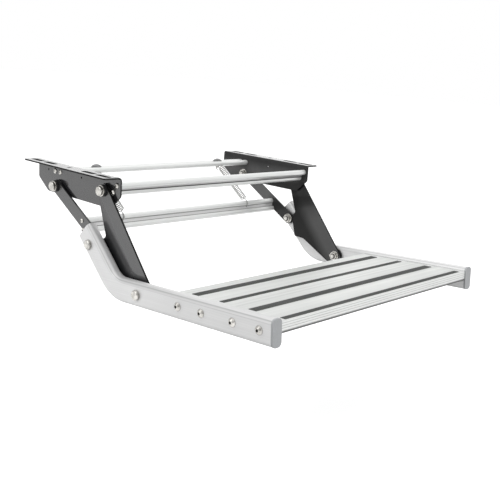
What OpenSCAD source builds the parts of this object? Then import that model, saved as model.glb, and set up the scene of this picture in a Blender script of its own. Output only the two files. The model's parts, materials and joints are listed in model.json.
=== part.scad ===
// Caravan pull out step with one folding tread, drawn deployed.
// X runs across the step, -Y points outwards from the vehicle, +Z is up.
// The origin is midway between the centre holes of the two flanges, on their top faces.

/* [Overall] */
// Width over the outer faces of the two side rails
overall_w = 600; // [480:5:720]
// Upward tilt of the tread towards its nose when nobody stands on it
tread_tilt = 4.2; // [2:0.1:6]

/* [Brackets] */
// Length of each bracket, front to rear
bracket_l = 280; // [270:1:320]
// Height of the bracket web at its deepest
web_h = 63; // [61:1:72]
// Height of the straight rear end of the web
web_rear_h = 38; // [30:1:45]
// Length of the rear chamfer of the web
web_rear_cut = 36; // [20:1:38]
// Height of the straight front end of the web
web_front_h = 36; // [34:1:45]
// Length of the front chamfer of the web
web_front_cut = 29; // [15:1:30]
// Width of the flange beyond the web's outer face
flange_w = 35; // [34:1:45]
// Thickness of the bracket steel
bracket_t = 3; // [2:0.5:4]
// Inside radius of the fold between web and flange
fold_r = 2; // [1:0.5:3]
// Corner radius of the flange
flange_corner_r = 9; // [4:1:12]
// Width of the fixing slots
slot_w = 8.5; // [6.5:0.5:10]
// Length of the fixing slots
slot_l = 36; // [20:1:38]
// Distance of the inner pair of slots from the centre hole
slot_inner_y = 66; // [60:1:68]
// Distance of the outer pair of slots from the centre hole
slot_outer_y = 112; // [108:1:114]
// Diameter of the centre hole of each flange
centre_hole_d = 8.5; // [6.5:0.5:11]
// Distance of the holes and slots from the web's outer face
hole_out = 19; // [17:1:22]
// Diameter of the two small location holes in the web
pilot_d = 4; // [3:0.5:5]
// Depth of the small holes and of the rear tie below the flange's top face
tie_z = 18.6; // [18:0.2:24]
// Position of the rear small hole from the bracket's centre
pilot_rear_y = 103; // [98:1:108]
// Position of the front small hole from the bracket's centre, towards the nose
pilot_front_y = 14; // [0:1:30]

/* [Pivots] */
// Rear upper pivot from the bracket's centre, rearwards
pivot_a_y = 66; // [60:1:72]
// Rear upper pivot below the flange's top face
pivot_a_z = 47; // [44:1:48]
// Front upper pivot from the bracket's centre, forwards
pivot_b_y = 95; // [88:1:100]
// Front upper pivot below the flange's top face
pivot_b_z = 30.5; // [28:0.5:34]
// Length of the front link between its pivots
front_link_l = 217; // [205:1:230]
// Slope of the front link below the horizontal
front_link_slope = 49; // [47:0.5:52]
// Diameter of the pivot bolts' shanks
pivot_d = 10; // [8:0.5:12]
// Radial running clearance of the pivots
pivot_clear = 0.05; // [0.02:0.01:0.1]

/* [Links] */
// Thickness of the four links
link_t = 4; // [3:0.5:5]
// Thickness of the washers between web, link and rail
spacer_t = 3; // [2:0.5:4]
// Width of the rear links
rear_link_w = 26; // [25:1:28]
// Half width of the front link at its upper pivot
front_link_half = 14; // [12:0.5:16]
// Clearance between the front link's nose and the rear link's end when deployed
stop_gap = 0.4; // [0.3:0.1:1]
// Length of the front link below its lower pivot
front_link_toe = 17; // [13:1:19]
// Distance of the front link's heel behind its lower pivot
front_link_heel = 27; // [20:1:30]
// Length of the nose's stop edge
nose_l = 50; // [40:1:54]
// Slope of the nose's stop edge away from the link's own direction
nose_slope = 25; // [18:1:32]
// Depth of the step behind the nose's tip
notch_depth = 13; // [8:0.5:15]

/* [Side rails] */
// Depth of the flat oval rail tube
rail_h = 45; // [40:1:50]
// Thickness of the flat oval rail tube
rail_t = 21; // [18:1:24]
// Corner radius of the flat oval rail tube
rail_corner_r = 8; // [5:0.5:9]
// Wall of the rail tube
rail_wall = 2.5; // [2:0.25:3.5]
// Length of the rail from its lower pivot to its nose end
rail_front_l = 325; // [320:1:345]
// Distance from the lower pivot back to the corner of the rail's centreline
rail_corner_y = 72.5; // [66:0.5:78]
// Slope of the rail's rear leg
leg_slope = 47; // [44:1:50]
// Length of the rear leg from the corner of its centreline to its end
leg_l = 132; // [126:1:140]
// Bend radius on the centreline of the rail
rail_bend_r = 62; // [54:1:80]
// Upper rail pivot, measured along the leg from the corner of the centreline
pivot_c_along = 101.5; // [96:0.5:108]
// Upper rail pivot, measured rearwards from the leg's centreline
pivot_c_back = 4; // [0:0.5:5]
// Thickness of the end caps outside the tube
cap_t = 3.5; // [2:0.5:5]
// Height of a cap beyond the tube on each side
cap_rim = 0.5; // [0:0.25:1]
// Depth of the caps' plugs inside the tube
cap_plug_l = 14; // [8:1:25]

/* [Tread] */
// Distance from the lower pivot to the rear edge of the tread
tread_start = 76; // [70:1:82]
// Depth of the rear plank
rear_plank_l = 115; // [112:1:120]
// Depth of the front plank
front_plank_l = 135; // [130:1:136]
// Gap between the planks
plank_gap = 1; // [0.5:0.5:3]
// Height of the planks' top above the lower pivot
tread_top = 15.5; // [14:0.5:17]
// Height of a plank
plank_h = 19; // [17:0.5:22]
// Wall of the planks
plank_wall = 2.2; // [1.8:0.1:3]
// Distance between the flutes on the planks
flute_pitch = 4; // [3:0.5:6]
// Depth of the flutes
flute_depth = 0.5; // [0.3:0.1:0.7]
// Width of the wide grip strips
wide_strip_w = 17; // [12:1:20]
// Width of the narrow grip strips
narrow_strip_w = 11.5; // [8:0.5:14]
// Height of the grip strips above the planks
strip_h = 1.2; // [0.8:0.1:2]
// Distance of the strips' ends from the rails
strip_margin = 16; // [5:1:40]
// Front edge of the narrow strip behind the plank's front edge
narrow_strip_back = 4.5; // [4:0.5:8]
// Clear distance between the wide and the narrow strip of a plank
strip_spacing = 51; // [44:1:54]
// Front screws of the rear plank behind its front edge
rear_port_inset = 21; // [14:0.5:24]
// Front screws of the front plank behind its front edge
front_port_inset = 25.5; // [14:0.5:28]
// Distance between the two screws of a plank on each side
port_pitch = 58; // [50:1:64]

/* [Cross bars] */
// Diameter of the two beads of a cross bar
bead_d = 12; // [11:0.5:14]
// Distance between the centres of the two beads
bead_spacing = 18.5; // [17:0.5:21]
// Thickness of the web between the beads
bar_web_t = 3; // [2:0.5:4]
// Rear tie's centre from the bracket's centre, rearwards
rear_tie_y = 69.5; // [66:0.5:76]
// Front tie's centre from the bracket's centre, forwards
front_tie_y = 123.5; // [121:0.5:124]
// Front tie's centre below the flange's top face
front_tie_z = 23.5; // [22:0.5:26]
// Slope of the front tie
front_tie_slope = 50.5; // [45:0.5:56]
// Link cross bar's upper bead, measured along the rear link from its upper pivot
link_bar_along = 109.5; // [100:0.5:118]
// Slope of the link cross bar
link_bar_slope = 74.5; // [66:0.5:80]

/* [Springs] */
// Distance of the springs from the middle of the step
spring_x = 178; // [120:1:210]
// Outer diameter of the springs
spring_od = 13; // [11:0.5:15]
// Wire diameter of the springs
spring_wire = 2; // [1.4:0.1:2.4]
// Curls of each spring
spring_turns = 26; // [20:1:30]
// Radius of the springs' upper hooks
spring_hook_r = 4.2; // [3.5:0.1:5]
// Distance of the springs' upper hooks below the rear tie's centre
eye_drop = 9.8; // [9.6:0.1:14]

/* [Fasteners] */
// Diameter of the pivot washers
washer_d = 24; // [20:0.5:25]
// Thickness of the pivot washers
washer_t = 2; // [1.5:0.5:3]
// Thickness of the nylon washers under the upper pivots' heads
pad_t = 3.5; // [2:0.5:5]
// Diameter of the flanges of the upper pivots' heads
head_flange_d = 21.5; // [20:0.5:23]
// Diameter of the pivot bolts' heads
head_d = 18.5; // [16:0.5:20]
// Height of the pivot bolts' heads
head_h = 6; // [4:0.5:7]
// Width across the corners of the pivot nuts
nut_d = 19.6; // [17:0.1:21]
// Height of the pivot nuts
nut_h = 8; // [6:0.5:9]
// Diameter of the button heads that hold the planks
plank_screw_head_d = 15; // [12:0.5:16]
// Height of the button heads that hold the planks
plank_screw_head_h = 5; // [3:0.5:6]
// Diameter of the screw heads on the brackets
tie_screw_head_d = 10.5; // [8:0.5:11]
// Diameter of the screw heads on the rear links
bar_screw_head_d = 9; // [7:0.5:10]
// Height of the cross bars' screw heads
bar_screw_head_h = 3; // [2:0.5:4]
// Shank diameter of the screws in the planks and cross bars
screw_d = 5; // [4:0.5:6]
// Length of the screws inside the planks and cross bars
screw_l = 18; // [12:1:30]
// Diameter of the nylon washers at the lower pivots
nylon_washer_d = 33; // [26:1:36]

/* [Hidden] */
$fn = 48;

// Planes across the step, from the rail inwards
rail_out_x = overall_w / 2;
rail_in_x = rail_out_x - rail_t;
link_out_x = rail_in_x - spacer_t;
link_in_x = link_out_x - link_t;
web_out_x = link_in_x - spacer_t;
web_in_x = web_out_x - bracket_t;
flange_out_x = web_out_x + flange_w;
// Play of flat faces that move past each other, clearance of hooks and of seats at rest
play = 0.15;
hook_clear = 0.3;
seat_clear = 0.1;
// Overlap that makes cuts run clean through
cut = 1;
// Corner radii of the bracket's web and of the front link
web_corner_r = 7;
link_corner_r = 12;

// Pivots in the Y Z plane: a and b on the bracket, c and d on the rail
pivot_a = [pivot_a_y, -pivot_a_z];
pivot_b = [-pivot_b_y, -pivot_b_z];
pivot_d_at = pivot_b + front_link_l * [-cos(front_link_slope), -sin(front_link_slope)];
// A point of the rail's own frame, with its origin at pivot d, set at the tread's tilt
function rail_point(p) = pivot_d_at + [
    p[0] * cos(tread_tilt) + p[1] * sin(tread_tilt),
    -p[0] * sin(tread_tilt) + p[1] * cos(tread_tilt)
];
leg_dir = [cos(leg_slope), sin(leg_slope)];
leg_side = [-sin(leg_slope), cos(leg_slope)];
pivot_c_local = [rail_corner_y, 0] + pivot_c_along * leg_dir - pivot_c_back * leg_side;
pivot_c_at = rail_point(pivot_c_local);
echo(pivot_a = pivot_a, pivot_b = pivot_b, pivot_c = pivot_c_at, pivot_d = pivot_d_at);
rear_link_vec = pivot_c_at - pivot_a;
rear_link_l = norm(rear_link_vec);
rear_link_dir = rear_link_vec / rear_link_l;
rear_link_angle = atan2(rear_link_vec[1], rear_link_vec[0]);

// Cross bars: centres of their beads in the Y Z plane
function bar_beads(centre, slope) = [
    for (s = [1, -1]) centre + s * bead_spacing / 2 * [-cos(slope), sin(slope)]
];
rear_tie_beads = bar_beads([rear_tie_y, -tie_z], 0);
front_tie_beads = bar_beads([-front_tie_y, -front_tie_z], front_tie_slope);
link_bar_upper = pivot_a + link_bar_along * rear_link_dir;
link_bar_lower = link_bar_upper
    - bead_spacing * [cos(link_bar_slope), sin(link_bar_slope)];
link_bar_beads = [link_bar_upper, link_bar_lower];

// Tread: planks from the rear edge forwards, in the rail's own frame
rear_plank_front = -(tread_start + rear_plank_l);
front_plank_rear = rear_plank_front - plank_gap;
front_plank_front = front_plank_rear - front_plank_l + plank_gap;
plank_w = 2 * rail_in_x;
strip_w = plank_w - 2 * strip_margin;
port_r = 4.4;
port_z = tread_top - plank_h + port_r;

// Corners with radii, given as [x, y, r], become arcs
arc_step = 12;
function unit(v) = v / norm(v);
function corner_arc(a, b, c) =
    let (
        p = [b[0], b[1]],
        u = unit([a[0], a[1]] - p),
        w = unit([c[0], c[1]] - p),
        half = acos(max(-1, min(1, u * w))) / 2,
        reach = b[2] / tan(half),
        centre = p + unit(u + w) * b[2] / sin(half),
        start = p + u * reach - centre,
        turn = sign(u[0] * w[1] - u[1] * w[0]),
        sweep = 180 - 2 * half,
        steps = max(1, ceil(sweep / arc_step)),
        first = atan2(start[1], start[0])
    )
    b[2] == 0 ? [p] : [
        for (i = [0:steps])
            let (angle = first - turn * sweep * i / steps)
            centre + b[2] * [cos(angle), sin(angle)]
    ];
function rounded(pts) = [
    for (i = [0:len(pts) - 1])
        each corner_arc(
            pts[(i + len(pts) - 1) % len(pts)], pts[i], pts[(i + 1) % len(pts)]
        )
];

// A shape drawn in the Y Z plane becomes a plate from x upwards
module plate(x, thickness) {
    translate([x, 0, 0])
        rotate([90, 0, 90])
            linear_extrude(thickness) children();
}

// A cylinder along X, from x0 to x1, at a point of the Y Z plane
module rod(p, x0, x1, d, sides = 48) {
    translate([x0, p[0], p[1]])
        rotate([0, 90, 0])
            cylinder(h = x1 - x0, d = d, $fn = sides);
}

// Right hand side, then its mirror image on the left
module both_sides() {
    children();
    mirror([1, 0, 0]) children();
}

// The rail's own frame, with its origin at pivot d
module at_rail() {
    translate([0, pivot_d_at[0], pivot_d_at[1]])
        rotate([-tread_tilt, 0, 0])
            children();
}

// Brackets
module slot_cut(y, length) {
    x = web_out_x + hole_out;
    run = length - slot_w;
    translate([x, y, -bracket_t - cut]) {
        for (s = [-1, 1])
            translate([0, s * run / 2, 0])
                cylinder(h = bracket_t + 2 * cut, d = slot_w);
        translate([-slot_w / 2, -run / 2, 0])
            cube([slot_w, run, bracket_t + 2 * cut]);
    }
}

module angle_section() {
    outer_r = fold_r + bracket_t;
    fold_at = [web_in_x + outer_r, -outer_r];
    translate([web_in_x, -web_h])
        square([bracket_t, web_h - outer_r]);
    translate([fold_at[0], -bracket_t])
        square([flange_out_x - fold_at[0], bracket_t]);
    intersection() {
        difference() {
            translate(fold_at) circle(outer_r);
            translate(fold_at) circle(fold_r);
        }
        translate([web_in_x, -outer_r]) square(outer_r);
    }
}

module web_outline() {
    half = bracket_l / 2;
    polygon(rounded([
        [half, cut, 0],
        [half, -web_rear_h, web_corner_r],
        [half - web_rear_cut, -web_h, 12],
        [-half + web_front_cut, -web_h, web_corner_r],
        [-half, -web_front_h, web_corner_r],
        [-half, 0, web_corner_r],
        [-half + 2 * cut + web_corner_r, 0, 0],
        [-half + 2 * cut + web_corner_r, cut, 0]
    ]));
}

module flange_outline() {
    half = bracket_l / 2;
    polygon(rounded([
        [web_in_x - cut, -half - cut, 0],
        [web_out_x, -half - cut, 0],
        [web_out_x, -half, 0],
        [flange_out_x, -half, flange_corner_r],
        [flange_out_x, half, flange_corner_r / 2],
        [web_in_x - cut, half, 0]
    ]));
}

module bracket() {
    difference() {
        intersection() {
            translate([0, bracket_l / 2 + cut, 0])
                rotate([90, 0, 0])
                    linear_extrude(bracket_l + 2 * cut) angle_section();
            plate(web_in_x - cut, flange_out_x - web_in_x + 2 * cut) web_outline();
            translate([0, 0, -web_h - cut])
                linear_extrude(web_h + 2 * cut) flange_outline();
        }
        for (y = [-slot_outer_y, -slot_inner_y, slot_inner_y, slot_outer_y])
            slot_cut(y, slot_l);
        translate([web_out_x + hole_out, 0, -bracket_t - cut])
            cylinder(h = bracket_t + 2 * cut, d = centre_hole_d);
        for (y = [pilot_rear_y, -pilot_front_y])
            rod([y, -tie_z], web_in_x - cut, web_out_x + cut, pilot_d);
        for (p = [pivot_a, pivot_b])
            rod(p, web_in_x - cut, web_out_x + cut, pivot_d + 2 * seat_clear);
        for (p = concat(rear_tie_beads, front_tie_beads))
            rod(p, web_in_x - cut, web_out_x + cut, screw_d + 2 * seat_clear);
    }
}

// Cross bars
module bar_section(beads) {
    mid = (beads[0] + beads[1]) / 2;
    dir = beads[0] - beads[1];
    difference() {
        union() {
            for (p = beads) translate(p) circle(d = bead_d);
            translate(mid) rotate(atan2(dir[1], dir[0]))
                square([bead_spacing, bar_web_t], center = true);
        }
        for (p = beads) translate(p) circle(d = screw_d);
    }
}

module cross_bar(beads, half_w) {
    plate(-half_w, 2 * half_w) bar_section(beads);
}

module drilled_rear_tie() {
    difference() {
        cross_bar(rear_tie_beads, web_in_x);
        for (s = [-1, 1])
            translate([s * eye_x, rear_tie_y, -tie_z - bar_web_t])
                cylinder(h = 2 * bar_web_t, d = eye_wire + 2 * seat_clear);
    }
}

module bar_screw(p, seat_x, d = bar_screw_head_d) {
    rod(p, seat_x - screw_l, seat_x + bar_screw_head_h / 2, screw_d - 2 * seat_clear);
    rod(p, seat_x, seat_x + bar_screw_head_h / 2, d);
    translate([seat_x + bar_screw_head_h / 2, p[0], p[1]])
        dome(d, bar_screw_head_h / 2);
}

// A low dome whose flat face lies at x = 0
module dome(d, h) {
    ball_r = (d * d / 4 + h * h) / (2 * h);
    rotate([0, 90, 0])
        rotate_extrude()
            intersection() {
                translate([0, h - ball_r]) circle(ball_r, $fn = 96);
                square([d / 2, h]);
            }
}

// Pivot hardware: a bolt from its tip out to the seat of its head, with or without a
// flange, and a flanged nut
module bolt_head(p, seat_x) {
    rod(p, seat_x, seat_x + head_h * 0.6, head_d);
    translate([seat_x + head_h * 0.6, p[0], p[1]])
        dome(head_d, head_h * 0.4);
}

module pivot_bolt(p, tip_x, seat_x, with_flange) {
    rod(p, tip_x, seat_x + cut, pivot_d);
    if (with_flange)
        rod(p, seat_x, seat_x + washer_t, head_flange_d);
    bolt_head(p, seat_x + (with_flange ? washer_t : 0));
}

module pivot_nut(p, seat_x) {
    difference() {
        union() {
            rod(p, seat_x - nut_h, seat_x - washer_t / 2, nut_d, 6);
            rod(p, seat_x - washer_t / 2, seat_x, washer_d - 2);
        }
        rod(p, seat_x - nut_h - cut, seat_x + cut, pivot_d + 2 * seat_clear);
    }
}

module ring(p, x0, x1, d, bore) {
    difference() {
        rod(p, x0, x1, d);
        rod(p, x0 - cut, x1 + cut, bore);
    }
}

// Links
module front_link_outline() {
    l = front_link_l;
    // The link's own frame: x along the link from pivot b, y rearwards
    along = [-cos(front_link_slope), -sin(front_link_slope)];
    rear = [sin(front_link_slope), -cos(front_link_slope)];
    c = [(pivot_c_at - pivot_b) * along, (pivot_c_at - pivot_b) * rear];
    // The nose's edge rests beside the round end of the rear link
    stop_dir = [cos(nose_slope), sin(nose_slope)];
    stop_at = c + (rear_link_w / 2 + stop_gap) * [sin(nose_slope), -cos(nose_slope)];
    tip_reach = link_corner_r / 2;
    tip = stop_at - tip_reach * stop_dir;
    nose_end = stop_at + (nose_l - tip_reach) * stop_dir;
    throat = nose_end + 1.5 * link_corner_r * [1, -1.1];
    notch = tip - [0, notch_depth];
    half = front_link_half;
    end_r = half - 0.5;
    polygon(rounded([
        [-half, -half, end_r],
        [l + front_link_toe, -half, link_corner_r],
        [l + front_link_toe, front_link_heel - 8, 10],
        [l - 2, front_link_heel, 8],
        [throat[0], throat[1], link_corner_r],
        [nose_end[0], nose_end[1], link_corner_r / 3],
        [tip[0], tip[1], link_corner_r / 4],
        [notch[0], notch[1], 5],
        [-half, half - 1, end_r - 1]
    ]));
}

module front_link() {
    difference() {
        plate(link_in_x, link_t)
            translate(pivot_b)
                rotate(180 + front_link_slope)
                    front_link_outline();
        for (p = [pivot_b, pivot_d_at])
            rod(p, link_in_x - cut, link_out_x + cut, pivot_d + 2 * pivot_clear);
    }
}

module rear_link_outline() {
    for (s = [0, rear_link_l])
        translate([s, 0]) circle(d = rear_link_w, $fn = 72);
    translate([0, -rear_link_w / 2]) square([rear_link_l, rear_link_w]);
}

module rear_link() {
    difference() {
        plate(link_in_x, link_t)
            translate(pivot_a)
                rotate(rear_link_angle)
                    rear_link_outline();
        rod(pivot_a, link_in_x - cut, link_out_x + cut, pivot_d + 2 * pivot_clear);
        rod(pivot_c_at, link_in_x - cut, link_out_x + cut, pivot_d + 2 * seat_clear);
        for (p = link_bar_beads)
            rod(p, link_in_x - cut, link_out_x + cut, screw_d + 2 * seat_clear);
    }
}

// Side rails, in the rail's own frame
module oval(d_h, d_t, r) {
    for (s = [-1, 1], t = [-1, 1])
        translate([t * (d_t / 2 - r), s * (d_h / 2 - r)]) circle(r);
    square([d_t, d_h - 2 * r], center = true);
    square([d_t - 2 * r, d_h], center = true);
}

module tube_section() {
    difference() {
        oval(rail_h, rail_t, rail_corner_r);
        oval(rail_h - 2 * rail_wall, rail_t - 2 * rail_wall, rail_corner_r - rail_wall);
    }
}

module plug_section() {
    in = rail_wall + seat_clear;
    oval(rail_h - 2 * in, rail_t - 2 * in, rail_corner_r - in);
}

bend_reach = rail_bend_r * tan(leg_slope / 2);
rail_mid_x = rail_out_x - rail_t / 2;

// The leg's frame: z runs up the leg from the corner of the centreline
module at_leg() {
    translate([rail_mid_x, rail_corner_y, 0])
        rotate([leg_slope - 90, 0, 0])
            children();
}

module rail_body() {
    translate([rail_mid_x, rail_corner_y - bend_reach, 0])
        rotate([90, 0, 0])
            linear_extrude(rail_front_l + rail_corner_y - bend_reach)
                tube_section();
    translate([rail_mid_x, rail_corner_y - bend_reach, rail_bend_r])
        rotate([0, 90, 0])
            rotate_extrude(angle = leg_slope, $fn = 96)
                translate([rail_bend_r, 0]) rotate(90) tube_section();
    at_leg()
        translate([0, 0, bend_reach])
            linear_extrude(leg_l - bend_reach) tube_section();
}

// Screw ports of a plank, measured from its front edge
function plank_ports(inset) = [inset, inset + port_pitch];
rear_ports = [for (y = plank_ports(rear_port_inset)) rear_plank_front + y];
front_ports = [for (y = plank_ports(front_port_inset)) front_plank_front + y];

module rail() {
    at_rail()
        difference() {
            rail_body();
            rod([0, 0], rail_in_x - cut, rail_out_x + cut, pivot_d + 2 * seat_clear);
            rod(pivot_c_local, rail_in_x - cut, rail_out_x + cut, pivot_d + 2 * seat_clear);
            for (y = concat(rear_ports, front_ports))
                rod([y, port_z], rail_in_x - cut, rail_out_x + cut, screw_d + 2 * seat_clear);
        }
}

// Caps: a rim over the tube's end and a plug inside it
module end_cap() {
    linear_extrude(cap_t) oval(rail_h + 2 * cap_rim, rail_t, rail_corner_r);
    translate([0, 0, -cap_plug_l])
        linear_extrude(cap_plug_l + cut / 2) plug_section();
}

module nose_cap() {
    at_rail()
        translate([rail_mid_x, -rail_front_l, 0])
            rotate([90, 0, 0])
                end_cap();
}

module leg_plug() {
    at_rail() at_leg()
        translate([0, 0, leg_l - cap_plug_l])
            linear_extrude(cap_plug_l - cut) plug_section();
}

// Planks: hollow extrusions, drawn as a section from the front edge rearwards
function strip_spans(depth) = [
    [narrow_strip_back, narrow_strip_back + narrow_strip_w],
    [
        narrow_strip_back + narrow_strip_w + strip_spacing,
        narrow_strip_back + narrow_strip_w + strip_spacing + wide_strip_w
    ]
];
function clear_of_strips(y, spans) =
    len([for (s = spans) if (y > s[0] - flute_pitch / 2 && y < s[1] + flute_pitch / 2) 1]) == 0;

module plank_section(depth, inset) {
    bottom = tread_top - plank_h;
    nose_r = 2.5;
    ports = plank_ports(inset);
    webs = concat(ports, [depth - inset]);
    difference() {
        polygon(rounded([
            [0, bottom, 1],
            [depth, bottom, 1],
            [depth, tread_top, 1.5],
            [0, tread_top, nose_r]
        ]));
        difference() {
            translate([plank_wall, bottom + plank_wall])
                square([depth - 2 * plank_wall, plank_h - 2 * plank_wall]);
            for (y = webs)
                translate([y - plank_wall / 2, bottom])
                    square([plank_wall, plank_h]);
            for (y = ports) translate([y, port_z]) circle(port_r);
        }
        for (y = ports) translate([y, port_z]) circle(d = screw_d);
        for (y = [flute_pitch:flute_pitch:depth - flute_pitch])
            if (clear_of_strips(y, strip_spans(depth)))
                translate([y - flute_pitch / 8, tread_top - flute_depth])
                    square([flute_pitch / 4, 2 * flute_depth]);
        for (z = [bottom + flute_pitch:flute_pitch:tread_top - nose_r - flute_depth])
            translate([-flute_depth, z - flute_pitch / 8])
                square([2 * flute_depth, flute_pitch / 4]);
    }
}

module plank(front_edge, depth, inset) {
    at_rail()
        translate([0, front_edge, 0])
            plate(-plank_w / 2, plank_w) plank_section(depth, inset);
}

// Grip strips: ribbed bands on the planks' smooth lands
module strip_section(width) {
    tooth = 1.6;
    teeth = floor(width / tooth / 2);
    square([width, strip_h / 2]);
    for (k = [0:teeth - 1])
        translate([(k + 0.5) * width / teeth - tooth / 2, 0])
            square([tooth, strip_h]);
}

module grip_strips(front_edge, depth) {
    at_rail()
        for (s = strip_spans(depth))
            translate([0, front_edge + s[0], tread_top])
                plate(-strip_w / 2, strip_w) strip_section(s[1] - s[0]);
}

module plank_screw(y) {
    at_rail() {
        rod([y, port_z], rail_in_x - screw_l, rail_out_x + cut, screw_d - 2 * seat_clear);
        translate([rail_out_x, y, port_z])
            dome(plank_screw_head_d, plank_screw_head_h);
    }
}

// Springs: one unbroken wire each, drawn along z from the upper hook to the lower
spring_r = (spring_od - spring_wire) / 2;
hook_bend = 2.4;
eye_r = 3.2;
eye_wire = 3;
eye_x = spring_x - hook_bend;
eye_at = [rear_tie_y, -tie_z - eye_drop];
bar_hook_r = bead_d / 2 + spring_wire / 2 + hook_clear;
spring_vec_raw = link_bar_upper - eye_at;
spring_dir = unit(spring_vec_raw);
spring_top = eye_at
    + (spring_hook_r - spring_wire / 2 - eye_wire / 2 - hook_clear) * spring_dir;
spring_vec = link_bar_upper - spring_top;
spring_len = norm(spring_vec);
spring_angle = atan2(spring_vec[1], spring_vec[0]);
echo(spring_pivot = spring_top, spring_end = link_bar_upper);
coil_start = spring_hook_r + 1.8 + hook_bend;
coil_end = spring_len - bar_hook_r - 0.6 - hook_bend;
// The coil's centre in front of the hooks' centres, so that their shanks leave near its middle
coil_x = 5.5;
rings_per_turn = 8;
bar_wrap = 112;
// Points of the wire: x towards the hooks' shanks, y across the step, z along the spring
top_hook = [
    for (a = [250:-24:10]) [spring_hook_r * cos(a), hook_bend, spring_hook_r * -sin(a)]
];
top_bend = [
    for (a = [90:-30:0])
        [spring_hook_r, hook_bend * sin(a), coil_start - hook_bend * (1 - cos(a))]
];
// A half ring leads from a hook's shank, at x, to the rim of the coil
function half_ring(x, z, angles) =
    let (r = (coil_x + spring_r - x) / 2)
    [for (a = angles) [x + r + r * cos(a), r * sin(a), z]];
coil = [
    for (i = [0:spring_turns * rings_per_turn])
        let (a = 360 * i / rings_per_turn, t = i / (spring_turns * rings_per_turn))
        [
            coil_x + spring_r * cos(a), spring_r * sin(a),
            coil_start + t * (coil_end - coil_start)
        ]
];
bar_bend = [
    for (a = [0:30:90])
        [bar_hook_r, -hook_bend * sin(a), coil_end + hook_bend * (1 - cos(a))]
];
bar_hook = [
    for (a = [0:16:bar_wrap])
        [bar_hook_r * cos(a), -hook_bend, spring_len + bar_hook_r * sin(a)]
];
spring_path = concat(
    top_hook, top_bend, half_ring(spring_hook_r, coil_start, [216:36:324]),
    coil, half_ring(bar_hook_r, coil_end, [45:45:135]), bar_bend, bar_hook
);

// Least gap of the wire to itself, between rings more than half a curl apart
coil_gaps = [
    for (i = [0:2:len(coil) - rings_per_turn - 2])
        for (j = [i + rings_per_turn - 2:min(len(coil) - 1, i + rings_per_turn + 2)])
            norm(coil[i] - coil[j]) - spring_wire
];
echo(least_spring_gap_mm = min(coil_gaps), spring_length_mm = spring_len);

// A tube of six sides swept along points, its rings kept square to the path
wire_sides = 6;
function path_dir(pts, i) =
    unit(pts[min(i + 1, len(pts) - 1)] - pts[max(i - 1, 0)]);
function turned(normal, dir) = unit(normal - (normal * dir) * dir);
function normals(pts, i = 0, last = [0.1, 0.9, 0.3], out = []) =
    i == len(pts) ? out :
    let (n = turned(last, path_dir(pts, i)))
    normals(pts, i + 1, n, concat(out, [n]));

module wire(pts, d) {
    n = normals(pts);
    rings = [
        for (i = [0:len(pts) - 1])
            let (side = cross(path_dir(pts, i), n[i]))
            for (k = [0:wire_sides - 1])
                pts[i] + d / 2 * (
                    cos(360 * k / wire_sides) * n[i] + sin(360 * k / wire_sides) * side
                )
    ];
    last = (len(pts) - 1) * wire_sides;
    faces = concat(
        [for (k = [1:wire_sides - 2]) [0, k, k + 1]],
        [for (k = [1:wire_sides - 2]) [last, last + k + 1, last + k]],
        [
            for (i = [0:len(pts) - 2])
                for (k = [0:wire_sides - 1])
                    let (
                        a = i * wire_sides + k,
                        b = i * wire_sides + (k + 1) % wire_sides,
                        c = a + wire_sides,
                        e = b + wire_sides
                    )
                    each [[a, c, b], [b, c, e]]
        ]
    );
    polyhedron(points = rings, faces = faces, convexity = 10);
}

module spring() {
    translate([spring_x, spring_top[0], spring_top[1]])
        rotate([spring_angle, 0, 0])
            rotate([-90, 0, 0])
                rotate([0, 0, 90])
                    wire(spring_path, spring_wire);
}

// Eye bolts hang through the rear tie from domed nuts that sit on its beads
eye_nut_d = 20;
eye_nut_rim = 1.5;
eye_nut_h = 5.5;
eye_nut_seat = -tie_z + bead_d / 2;

module spring_eye_bolt() {
    ring_z = eye_at[1] + eye_r;
    shank_top = eye_nut_seat + eye_nut_h / 2;
    translate([eye_x, rear_tie_y, ring_z])
        rotate([90, 0, 0])
            rotate_extrude($fn = 48)
                translate([eye_r, 0]) circle(d = eye_wire, $fn = 24);
    translate([eye_x, rear_tie_y, ring_z + eye_r])
        cylinder(h = shank_top - ring_z - eye_r, d = eye_wire);
}

module spring_eye_nut() {
    difference() {
        translate([eye_x, rear_tie_y, eye_nut_seat])
            rotate([0, -90, 0]) {
                rod([0, 0], 0, eye_nut_rim, eye_nut_d);
                translate([eye_nut_rim, 0, 0]) dome(eye_nut_d, eye_nut_h - eye_nut_rim);
            }
        translate([eye_x, rear_tie_y, eye_nut_seat - cut])
            cylinder(h = cut + eye_nut_h / 2 + seat_clear, d = eye_wire + 2 * seat_clear);
    }
}

module left_bracket() { color("#3a3a3c") mirror([1, 0, 0]) bracket(); }
module right_bracket() { color("#3a3a3c") bracket(); }
module rear_tie() { color("#dcdddb") drilled_rear_tie(); }
module front_tie() { color("#dcdddb") cross_bar(front_tie_beads, web_in_x); }
module tie_screws() {
    color("#d8d6cc")
        both_sides()
            for (p = concat(rear_tie_beads, front_tie_beads))
                bar_screw(p, web_out_x, tie_screw_head_d);
}
module spring_eye_bolts() { color("#b9bab8") both_sides() spring_eye_bolt(); }
module spring_eye_nuts() { color("#4a4a4c") both_sides() spring_eye_nut(); }
module upper_bolts(p) {
    color("#d8d6cc")
        both_sides() pivot_bolt(p, web_in_x - nut_h - 1, link_out_x + play + pad_t, true);
}
module upper_nuts(p) { color("#d8d6cc") both_sides() pivot_nut(p, web_in_x); }
module upper_spacers(p) {
    color("#8f8f8c")
        both_sides()
            ring(p, web_out_x, link_in_x - play, washer_d - 2, pivot_d + 2 * seat_clear);
}
module rear_pivot_bolts() { upper_bolts(pivot_a); }
module rear_pivot_nuts() { upper_nuts(pivot_a); }
module rear_pivot_spacers() { upper_spacers(pivot_a); }
module front_pivot_bolts() { upper_bolts(pivot_b); }
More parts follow.
